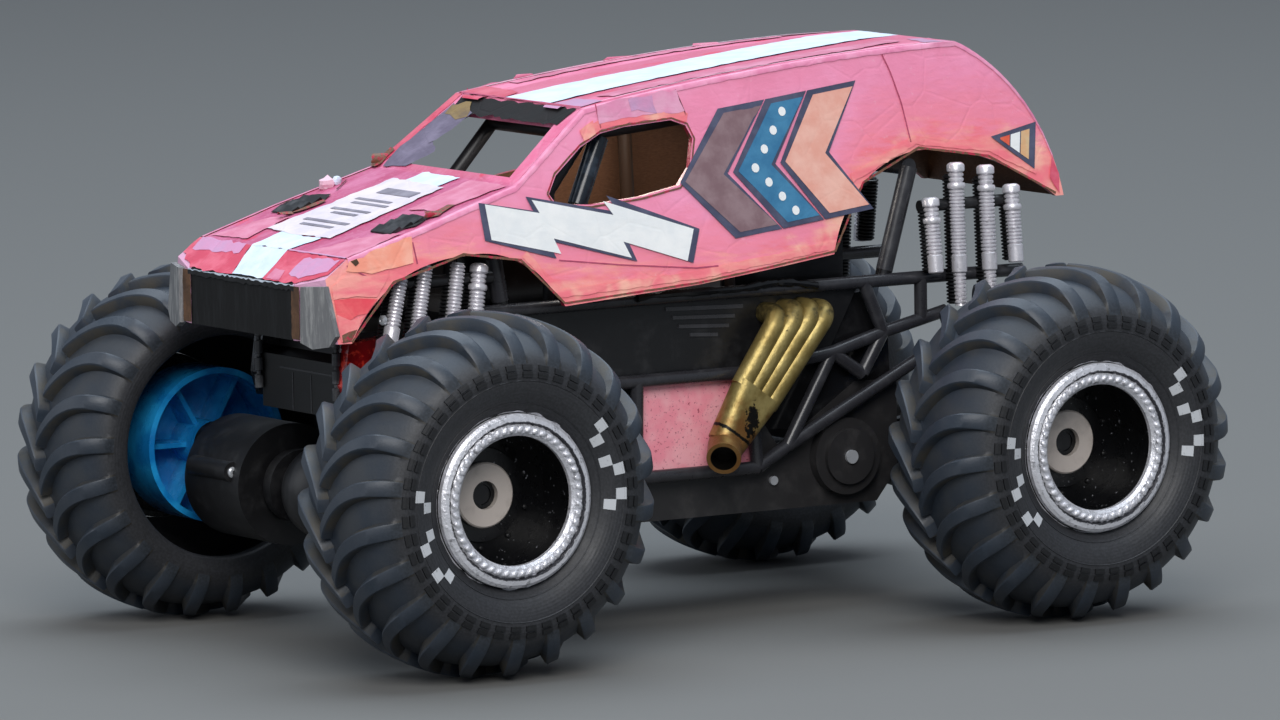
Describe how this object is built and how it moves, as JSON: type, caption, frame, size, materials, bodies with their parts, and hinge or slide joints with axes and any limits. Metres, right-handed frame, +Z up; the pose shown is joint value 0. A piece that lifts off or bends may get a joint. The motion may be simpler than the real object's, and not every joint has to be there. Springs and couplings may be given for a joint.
{
  "type": "toy monster truck with home-made card body",
  "caption": "Small toy monster truck: open space-frame chassis on big lugged tyres that roll, under a hollow home-made card body with open windows.",
  "frame": {"origin": "on the ground, midway between the axles and the sides", "axes": "+X to the nose, +Y to the truck's left, +Z up"},
  "size_m": [0.204, 0.1432, 0.1115],
  "materials": {
    "rubber": "dusty moulded rubber",
    "blue_plastic": "bright blue moulded plastic, painted black on the outer side",
    "silver_paint": "rough hand-painted silver",
    "grey_plastic": "warm light grey moulded plastic",
    "black_plastic": "satin black moulded plastic",
    "gold_paint": "gold paint with chips and coppery patches",
    "pink_card": "painted and taped card, red to pink, brown edges",
    "black_card": "matte black card",
    "silver_card": "silver-grey foil paper over card",
    "steel_pin": "bare steel pin",
    "red_plastic": "dark red glossy moulded plastic"
  },
  "bodies": {
    "root": {"chassis_tub": "black_plastic", "deck_plate": "black_plastic", "exhaust_left": "gold_paint", "exhaust_right": "gold_paint", "front_arms": "black_plastic", "front_axle": "black_plastic", "front_bulkhead": "black_plastic", "front_corners": "pink_card", "front_hoop": "black_plastic", "front_shocks_left": "silver_paint", "front_shocks_right": "silver_paint", "front_skid": "red_plastic", "grille_panel": "black_card", "headlights": "silver_card", "hood_panel": "pink_card", "hood_vents": "black_card", "lower_side_panel_left": "pink_card", "lower_side_panel_right": "pink_card", "nose_panel": "pink_card", "pivot_pins": "steel_pin", "rear_arms": "black_plastic", "rear_axle": "black_plastic", "rear_hoop": "black_plastic", "rear_quarter_left": "pink_card", "rear_quarter_right": "pink_card", "rear_shocks_left": "silver_paint", "rear_shocks_right": "silver_paint", "roll_cage": "black_plastic", "roof_panel": "pink_card", "side_frame_left": "black_plastic", "side_frame_right": "black_plastic", "side_panel_left": "pink_card", "side_panel_right": "pink_card", "tail_panel": "pink_card", "upper_side_panel_left": "black_plastic", "upper_side_panel_right": "black_plastic", "windscreen_frame": "pink_card"},
    "wheel_front_left": {"beadlock_ring_front_left": "silver_paint", "hub_cap_front_left": "grey_plastic", "tyre_front_left": "rubber", "wheel_front_left": "blue_plastic"},
    "wheel_front_right": {"beadlock_ring_front_right": "silver_paint", "hub_cap_front_right": "grey_plastic", "tyre_front_right": "rubber", "wheel_front_right": "blue_plastic"},
    "wheel_rear_left": {"beadlock_ring_rear_left": "silver_paint", "hub_cap_rear_left": "grey_plastic", "tyre_rear_left": "rubber", "wheel_rear_left": "blue_plastic"},
    "wheel_rear_right": {"beadlock_ring_rear_right": "silver_paint", "hub_cap_rear_right": "grey_plastic", "tyre_rear_right": "rubber", "wheel_rear_right": "blue_plastic"}
  },
  "joints": [
    {"name": "front_left_roll", "type": "hinge", "parent": "root", "child": "wheel_front_left", "pos_m": [0.067, 0.056, 0.035], "axis": [0, 1, 0], "continuous": true},
    {"name": "front_right_roll", "type": "hinge", "parent": "root", "child": "wheel_front_right", "pos_m": [0.067, -0.056, 0.035], "axis": [0, 1, 0], "continuous": true},
    {"name": "rear_left_roll", "type": "hinge", "parent": "root", "child": "wheel_rear_left", "pos_m": [-0.067, 0.056, 0.035], "axis": [0, 1, 0], "continuous": true},
    {"name": "rear_right_roll", "type": "hinge", "parent": "root", "child": "wheel_rear_right", "pos_m": [-0.067, -0.056, 0.035], "axis": [0, 1, 0], "continuous": true}
  ]
}
